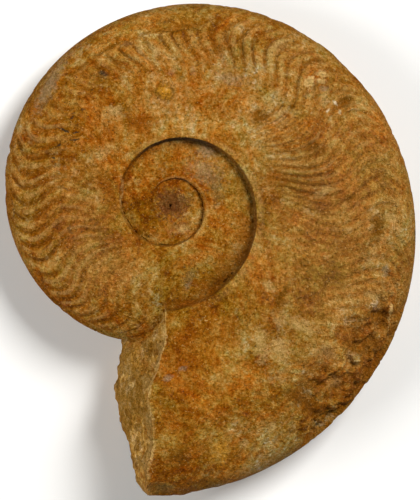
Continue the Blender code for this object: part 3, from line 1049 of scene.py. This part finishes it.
@dataclass(frozen=True)
class Limestone:
    """Ochre limestone with rusty furrows, pale worn crests, stains and a fine grain, with painted shade in
    the furrows, along the seam and at the outer edge, and a few painted highlights.
    """

    sizes: CoilSizes
    axis: Vector
    lines: float = 252.0
    line_depth: float = 0.035 * MM
    grain_size: float = 0.95 * MM
    grain_depth: float = 0.3 * MM
    specular: float = 0.02
    ochres: Stops = (
        (0.00, (0.108, 0.023, 0.0001)),
        (0.15, (0.154, 0.040, 0.0002)),
        (0.30, (0.208, 0.064, 0.001)),
        (0.44, (0.266, 0.097, 0.006)),
        (0.56, (0.314, 0.134, 0.015)),
        (0.69, (0.359, 0.178, 0.031)),
        (0.84, (0.412, 0.242, 0.066)),
        (1.00, (0.492, 0.345, 0.150)),
    )
    broken_ochres: Stops = (
        (0.00, (0.17, 0.055, 0.001)),
        (0.30, (0.37, 0.172, 0.017)),
        (0.65, (0.56, 0.310, 0.062)),
        (1.00, (0.76, 0.510, 0.200)),
    )

    def build(self) -> bpy.types.Material:
        """Make the material."""
        board = FinishBoard("ochre_limestone")
        solid = Field(board, board.node("ShaderNodeTexCoord").outputs["Object"])
        x, y, z = board.parts(solid)
        x, y = x - self.axis.x, y - self.axis.y
        upper = z.ease(self.sizes.half_thickness - 3.0 * MM, self.sizes.half_thickness - 2.0 * MM)
        flat = board.place(x, y, (1.0 - upper) * 0.5)
        turned, across, wall = self.coil_places(board, x, y)
        mouth = board.kept("mouth").ease(0.0, 0.5)
        laws = Ribs(board)
        phase = laws.phase(turned, across, solid)
        streak = laws.streaks(phase, across)
        grain = board.clouds(solid, self.grain_size, 2.0, 1.0)
        worn = WORN.distance(board, board.shaken(flat, 4.0 * MM, 0.4 * MM)).ease(1.2, 0.8)
        ribs = laws.strength(turned, across)
        mottled = MOTTLED.distance(board, flat).ease(1.1, 0.6)
        colour = self.stone(board, solid, laws.streaks(phase, across, 5.0) * ribs, worn, mottled)
        colour = self.ribbed(board, colour, solid, phase, streak, ribs, turned)
        groove = abs(across - laws.end(turned) - 0.01).ease(0.02, 0.004)
        groove = groove * turned.near(208.0, 40.0, 26.0)
        groove = groove * board.clouds(solid, 6.0 * MM).ease(-0.7, 0.3)
        colour = board.tinted(colour, Tint.UMBER, groove * 0.7)
        colour = self.seamed(board, colour, solid, wall, turned)
        colour = self.stained(board, colour, flat)
        colour = self.broken(board, colour, solid, mouth)
        # painted shade: each whorl darkens towards its outer edge, where its side rolls over
        colour = board.tinted(colour, Tint.UMBER, across.ease(0.93, 0.99) * 0.5)
        colour = self.grained(board, colour, solid, grain)
        board.wire(colour, board.surface.inputs["Base Color"])
        board.wire(self.roughness(board, solid), board.surface.inputs["Roughness"])
        board.surface.inputs["Specular IOR Level"].default_value = self.specular
        board.wire(self.bump(board, solid, grain, turned, across, mouth), board.surface.inputs["Normal"])
        return board.material

    def coil_places(self, board: FinishBoard, x: Field, y: Field) -> tuple[Field, Field, Field]:
        """Where a point lies on the coil.

        Args:
            board: the finish's board.
            x: place from the coil's axis along x.
            y: place from the coil's axis along y.

        Returns:
            The angle turned back, how far over the side, and how far up the wall from the seam.
        """
        sizes = self.sizes
        slant = board.kept("slant")
        radius = board.math("SQRT", x * x + y * y) * board.math("EXPONENT", slant * -sizes.venter_shrink)
        angle = (board.math("ARCTAN2", y, x) + slant - sizes.break_angle) / TURN
        turned = board.math("FRACT", angle) * TURN
        seam = board.math("EXPONENT", turned * -sizes.rim_shrink) * sizes.seam_at(0.0)
        inward = board.math("LOGARITHM", seam / radius, math.e) / (sizes.rim_shrink * TURN)
        inner = (board.math("FLOOR", inward) + 1.0).at_least(0.0)
        turned = turned + inner * TURN
        seam = seam * board.math("EXPONENT", inner * (-sizes.rim_shrink * TURN))
        venter = board.math("EXPONENT", turned * -sizes.venter_shrink) * sizes.venter_radius
        rim = (1.0 - sizes.seam_share) / sizes.seam_share
        return turned, (radius - seam) / (venter - seam), (radius - seam) / (seam * rim)

    def stone(self, board: FinishBoard, solid: Field, streak: Field, worn: Field, mottled: Field) -> Field:
        """The stone's own colour: ochre of many shades, here rustier and there greyer."""
        fine = board.clouds(solid, 2.2 * MM, 3.0, 1.0, 1.0)
        shade = board.clouds(solid, 50.0 * MM, 6.0, 1.0) * 0.86 + fine * 0.26 + streak * 0.16 + 0.5
        shade = shade + board.clouds(solid, 6.0 * MM, 4.0, 0.8, 0.5) * worn * 0.8 - worn * 0.12
        shade = shade + board.clouds(solid, 13.0 * MM, 5.0, 0.9, 0.4) * mottled * 0.45
        colour = board.ramp(shade, self.ochres)
        rust = board.clouds(board.vector("ADD", solid, (0.31, 0.17, 0.23)), 32.0 * MM, 4.0, 1.0, 0.6)
        full = board.clouds(board.vector("ADD", solid, (-0.27, 0.41, 0.11)), 40.0 * MM, 5.0, 1.0)
        pale = board.clouds(board.vector("ADD", solid, (0.07, 0.29, -0.13)), 11.0 * MM, 4.0, 0.85)
        dark = board.clouds(board.vector("ADD", solid, (-0.19, 0.05, 0.37)), 10.0 * MM, 5.0, 0.9)
        colour = board.tinted(colour, Tint.PALE, pale.ease(0.25, 0.6) * 0.5)
        colour = board.tinted(colour, Tint.UMBER, dark.ease(0.25, 0.65) * 0.6)
        red = 1.0 + rust * 0.20
        green = 1.0 - rust * 0.46
        blue = (1.0 - rust * 1.3) * (1.0 + full * 0.6)
        return board.vector("MULTIPLY", colour, board.place(red, green, blue.at_least(0.1)))

    def ribbed(self, board: FinishBoard, colour: Field, solid: Field, phase: Field, streak: Field,
               where: Field, turned: Field) -> Field:
        """Pale worn crests, and rusty furrows that also carry painted shade, darker further round the coil,
        on the left where the lamps light the ribs least.
        """
        wave = Ribs(board).wave(phase, streak)
        patchy = board.clouds(solid, 11.0 * MM, 3.0, 0.7)
        pale = wave.ease(0.5, 0.05) * patchy.ease(-0.5, 0.6) * where
        # the furrows darken as rust and as painted shade; the shade is stronger further round, on the left
        rust = wave.ease(0.66, 0.97) * patchy.ease(1.2, -0.7) * where
        colour = board.tinted(colour, Tint.PALE, pale * 0.5)
        return board.tinted(colour, Tint.SHADE, rust * turned.ease(2.2, 4.2).blend(0.5, 0.85))

    def seamed(self, board: FinishBoard, colour: Field, solid: Field, wall: Field, turned: Field) -> Field:
        """Dirt and painted shade along the inner seam on the side towards the light, a painted shadow under
        its wall at the top, and a pale rim over it, rubbed stone with a painted highlight.
        """
        patchy = board.clouds(solid, 5.0 * MM, 3.0, 0.7)
        around = board.math("FRACT", turned / TURN) * TURN
        # the side of the seam towards the light, where its wall faces away from the light; the painted shade
        # below is strongest here
        deep = around.near(128.0, 118.0, 70.0)
        spread = math.exp(self.sizes.rim_shrink * TURN)
        rim_share = (1.0 - self.sizes.seam_share) / self.sizes.seam_share
        under = ((wall * rim_share + 1.0) / spread).ease(0.66, 1.0) * turned.ease(TURN - 0.01, TURN)
        inside = turned.ease(TURN * 1.25, TURN * 1.05).blend(0.3, 1.0)
        # painted shade: the inner whorl turns rustier and darker as it runs in under the outer seam
        colour = board.tinted(colour, Tint.RUST, under * patchy.ease(-1.2, 0.2) * deep * inside * 0.6)
        # painted shade, darker still, next to the seam on the lower right
        low = around.near(80.0, 60.0, 25.0)
        colour = board.tinted(colour, Tint.UMBER, under ** 2.0 * low * inside * 0.6)
        # dirt and painted shade on the seam's wall and at its foot
        dirt_and_shade = wall.ease(1.2, 0.95).at_least(under ** 4.0) * deep.blend(0.6, 1.0) * inside
        # the pale rim over the wall is rubbed stone and a painted highlight, on the side towards the light
        rim = abs(wall - 2.4).ease(1.6, 0.2) * patchy.ease(-0.8, 0.9) * deep
        colour = board.tinted(colour, Tint.SHADE, dirt_and_shade * 0.75)
        # painted shadow: near-black under the wall at the top of the seam
        top = around.near(180.0, 44.0, 24.0) * turned.ease(TURN * 1.6, TURN * 1.4)
        shadow = top * wall.ease(1.4, 0.9).at_least(under ** 7.0)
        colour = board.tinted(colour, Tint.BLACK, shadow * 0.8)
        return board.tinted(colour, Tint.PALE, rim * 0.4)

    def stained(self, board: FinishBoard, colour: Field, flat: Field) -> Field:
        """The stains, each with a ragged edge."""
        shaken = board.shaken(flat, 6.0 * MM, 0.9 * MM)
        speck = board.clouds(flat, 1.6 * MM, 3.0, 0.8)
        for stain in STAINS:
            out = stain.distance(board, shaken) - speck * min(0.8, 0.3 * stain.over)
            colour = board.tinted(colour, stain.tint, out.ease(1.1, 1.1 - stain.soft) * stain.strength)
        return colour

    def broken(self, board: FinishBoard, colour: Field, solid: Field, mouth: Field) -> Field:
        """The rough break: paler, duller stone, with a whitish line along its upper edge."""
        patchy = board.clouds(solid, 8.0 * MM, 6.0, 0.8)
        drawn = board.clouds(board.vector("MULTIPLY", solid, (2.4, 0.55, 0.8)), 4.0 * MM, 4.0, 0.9)
        stone = board.ramp(patchy * 0.7 + drawn * 0.8 + 0.55, self.broken_ochres)
        stone = board.tinted(stone, Tint.RUST, board.clouds(solid, 6.0 * MM, 3.0, 0.7).ease(0.15, 0.6) * 0.7)
        colour = board.tinted(colour, stone, mouth * 0.8)
        line = (board.kept("lip") + board.clouds(solid, 2.0 * MM, 2.0, 0.8) * 0.4).ease(0.2, 0.8)
        return board.tinted(colour, Tint.CREAM, line * patchy.ease(-0.6, 0.4) * 0.75)

    def grained(self, board: FinishBoard, colour: Field, solid: Field, grain: Field) -> Field:
        """Fine grain: dark pits, pale flecks with painted glints, and painted shade in the carving's hollows.
        """
        relief = board.kept("relief")
        # painted shade: the carving's hollows are tinted rustier and darker
        colour = board.tinted(colour, Tint.RUST, relief.ease(0.1, -0.9) * 0.4)
        bright = (1.0 + grain * 0.72).at_least(0.25)
        colour = board.vector("MULTIPLY", colour, board.place(bright, bright, bright ** 1.7))
        patchy = board.clouds(solid, 12.0 * MM, 2.0)
        pits = grain.ease(-0.3, -0.9) * patchy.ease(-0.9, 0.7).blend(0.2, 0.8)
        crumbs = grain.ease(0.3, 1.0) * patchy.ease(0.9, -0.7).blend(0.1, 0.5)
        colour = board.tinted(board.tinted(colour, Tint.SHADE, pits), Tint.CREAM, crumbs)
        flecks = board.clouds(board.vector("ADD", solid, (0.11, -0.23, 0.07)), 0.9 * MM, 1.0, 1.0)
        # the pale flecks are pale calcite specks and painted glints
        colour = board.tinted(colour, Tint.CREAM, flecks.ease(0.5, 0.85) * 0.5)
        return board.tinted(colour, Tint.BLACK, flecks.ease(-0.5, -0.85) * 0.6)

    def roughness(self, board: FinishBoard, solid: Field) -> Field:
        """Dull, with slightly rubbed places."""
        return board.clouds(solid, 4.0 * MM, 4.0, 0.7).ease(-1.2, 1.2).blend(0.52, 0.74)

    def bump(self, board: FinishBoard, solid: Field, grain: Field, turned: Field, across: Field,
             mouth: Field) -> Field:
        """Fine relief: grain, pits and growth lines."""
        grain = grain * self.grain_depth
        phase = (turned - Ribs(board).lag(across)) * self.lines
        lined = board.clouds(solid, 14.0 * MM, 2.0).ease(-0.6, 0.4)
        lined = lined * across.ease(0.02, 0.1) * across.ease(0.55, 0.35) * turned.near(112.0, 42.0, 20.0)
        lines = board.math("COSINE", phase) * lined * self.line_depth
        node = board.node("ShaderNodeBump")
        node.inputs["Distance"].default_value = 1.0
        board.wire(grain * mouth.blend(1.0, 1.6) + lines, node.inputs["Height"])
        return Field(board, node.outputs[0])


class Chart(Enum):
    """Parts of the bake map: left and lower corner in mm, and scale."""

    TOP = (0.0, 0.0, 1.0)
    UNDER = (136.0, 0.0, 0.71)
    EDGE_FIRST = (0.0, 164.0, 0.78)
    EDGE_LAST = (0.0, 195.0, 0.78)
    MOUTH = (170.0, 164.0, 0.88)


@dataclass(frozen=True)
class BakeMap:
    """Flat layout of the fossil's surface: its upper side largest, then its underside, edge and break."""

    sizes: CoilSizes
    axis: Vector
    side: float = 234.0
    steep_below: float = 0.45
    edge_from: float = 0.9
    mouth_from: float = 0.02

    def draw(self, mesh: bpy.types.Mesh) -> None:
        """Lay every triangle out in the mesh's map."""
        places = self.numbers(mesh.vertices, "co", 3) / MM
        corners = self.numbers(mesh.loops, "vertex_index", 1, np.int32).reshape(-1, 3)
        steep = np.abs(self.numbers(mesh.polygons, "normal", 3)[:, 2]) < self.steep_below
        from_axis = places[:, :2] - np.array(self.axis.xy) / MM
        slant = self.numbers(mesh.attributes["slant"].data, "value", 1)
        mouth = self.numbers(mesh.attributes["mouth"].data, "value", 1)[corners].mean(1) > self.mouth_from
        turned = (np.arctan2(from_axis[:, 1], from_axis[:, 0]) + slant - self.sizes.break_angle) % TURN
        radius = np.hypot(from_axis[:, 0], from_axis[:, 1])
        middle = turned[corners[:, 0]]
        unwrapped = middle[:, None] + (turned[corners] - middle[:, None] + math.pi) % TURN - math.pi
        widest, shrink = self.sizes.venter_radius / MM, self.sizes.venter_shrink
        venter = widest * np.exp(-shrink * middle)
        edge = steep & ~mouth & (radius[corners].mean(1) > self.edge_from * venter)
        length = (widest - venter) / shrink
        whole = widest * (1.0 - math.exp(-shrink * TURN)) / shrink
        along = length[:, None] + (unwrapped - middle[:, None]) * venter[:, None]
        height = places[:, 2][corners]
        high = height.mean(1) > self.sizes.half_thickness / MM
        low = places[:, :2].min(0)
        top = (places[:, :2] - low)[corners]
        flipped = np.stack([places[:, 0].max() - places[:, 0], places[:, 1] - low[1]], 1)[corners]
        laid = np.where(high[:, None, None], self.at(Chart.TOP, top), self.at(Chart.UNDER, flipped))
        for chart, chosen, start in (
            (Chart.EDGE_FIRST, edge & (length < whole / 2.0), 0.0),
            (Chart.EDGE_LAST, edge & (length >= whole / 2.0), whole / 2.0),
        ):
            strip = np.stack([along - start + 1.0, height], 2)
            laid[chosen] = self.at(chart, strip)[chosen]
        face = np.stack([radius[corners] - self.sizes.seam_at(0.0) / MM + 1.0, height], 2)
        laid[mouth] = self.at(Chart.MOUTH, face)[mouth]
        layer = mesh.uv_layers.new(name="OFBake")
        layer.uv.foreach_set("vector", (laid / self.side).clip(0.0, 1.0).astype(np.float32).ravel())

    def at(self, chart: Chart, places: np.ndarray) -> np.ndarray:
        """Places in mm moved to where their chart lies."""
        left, low, scale = chart.value
        return places * scale + np.array((left + 1.0, low + 1.0))

    def numbers(self, items: object, name: str, width: int, kind: type = np.float32) -> np.ndarray:
        """One property of many items as an array."""
        found = np.empty(len(items) * width, kind)
        items.foreach_get(name, found)
        return found.reshape(-1, width) if width > 1 else found


@dataclass(frozen=True)
class Lamp:
    """A square lamp that looks at the fossil: its direction in degrees, side, watts, tint and distance."""

    name: str
    turn: float
    rise: float
    size: float
    power: float
    tint: Colour
    far: float = 1.3

    def hang(self, middle: Vector) -> None:
        """Hang the lamp up so that it faces the middle."""
        light = bpy.data.lights.new(self.name, "AREA")
        light.size, light.energy, light.color = self.size, self.power, self.tint
        lamp = bpy.data.objects.new(self.name, light)
        turn, rise = math.radians(self.turn), math.radians(self.rise)
        back = Vector((math.cos(turn) * math.cos(rise), math.sin(turn) * math.cos(rise), math.sin(rise)))
        lamp.location = middle + back * self.far
        lamp.rotation_mode = "QUATERNION"
        lamp.rotation_quaternion = (-back).to_track_quat("-Z", "Y")
        bpy.context.scene.collection.objects.link(lamp)


@dataclass(frozen=True)
class Studio:
    """Pale floor, soft light from the upper right and, weaker, from the left, and a camera straight above."""

    middle: Vector
    view_height: float = 0.1616
    camera_height: float = 1.25
    floor_tint: Colour = (0.86, 0.86, 0.85)
    floor_half: float = 4.0
    glow: float = 0.05
    lamps: tuple[Lamp, ...] = (
        Lamp("key", 42.0, 47.0, 0.52, 21.2, (1.0, 0.99, 0.97)),
        Lamp("left", 195.0, 30.0, 0.7, 14.5, (1.0, 0.98, 0.95)),
    )

    def build(self) -> None:
        """Make the floor, the lights, the sky and the camera."""
        self.floor()
        for lamp in self.lamps:
            lamp.hang(self.middle)
        self.sky()
        self.camera()

    def floor(self) -> None:
        """A wide plain floor, dressed in matt pale paint."""
        mesh = bpy.data.meshes.new("floor")
        half = self.floor_half
        corners = [(-half, -half, 0), (half, -half, 0), (half, half, 0), (-half, half, 0)]
        mesh.from_pydata(corners, [], [(0, 1, 2, 3)])
        floor = bpy.data.objects.new("floor", mesh)
        bpy.context.scene.collection.objects.link(floor)
        paint = bpy.data.materials.new("pale_floor")
        paint.use_nodes = True
        surface = paint.node_tree.nodes["Principled BSDF"]
        surface.inputs["Base Color"].default_value = (*self.floor_tint, 1.0)
        surface.inputs["Roughness"].default_value = 0.9
        mesh.materials.append(paint)

    def sky(self) -> None:
        """An even pale glow from all sides."""
        world = bpy.data.worlds.new("glow")
        world.use_nodes = True
        glow = world.node_tree.nodes["Background"]
        glow.inputs["Color"].default_value = (1.0, 1.0, 1.0, 1.0)
        glow.inputs["Strength"].default_value = self.glow
        bpy.context.scene.world = world

    def camera(self) -> None:
        """A long lens straight above the middle; the frame's long side spans the view height."""
        data = bpy.data.cameras.new("camera")
        data.sensor_width = 36.0
        data.lens = data.sensor_width * (self.camera_height - self.middle.z) / self.view_height
        data.clip_end = 20.0
        camera = bpy.data.objects.new("camera", data)
        camera.location = (self.middle.x, self.middle.y, self.camera_height)
        bpy.context.scene.collection.objects.link(camera)
        bpy.context.scene.camera = camera


def main() -> None:
    """Build the fossil and the studio round it."""
    logging.basicConfig(level=logging.INFO, format="%(name)s: %(message)s")
    low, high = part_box("ammonite")
    sizes = CoilSizes.of_length(high.y - low.y)
    stone = Limestone(sizes, -sizes.outline()[0]).build()
    coil = Coil(sizes)
    fossil = coil.make(stone)
    BakeMap(sizes, -sizes.outline()[0]).draw(fossil.data)
    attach(fossil, "root")
    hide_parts("ammonite")
    log.info("piece %s stands for the ammonite", fossil.name)
    Studio((low + high) / 2.0).build()
    bpy.context.scene.view_settings.view_transform = "Standard"


if __name__ == "__main__":
    main()
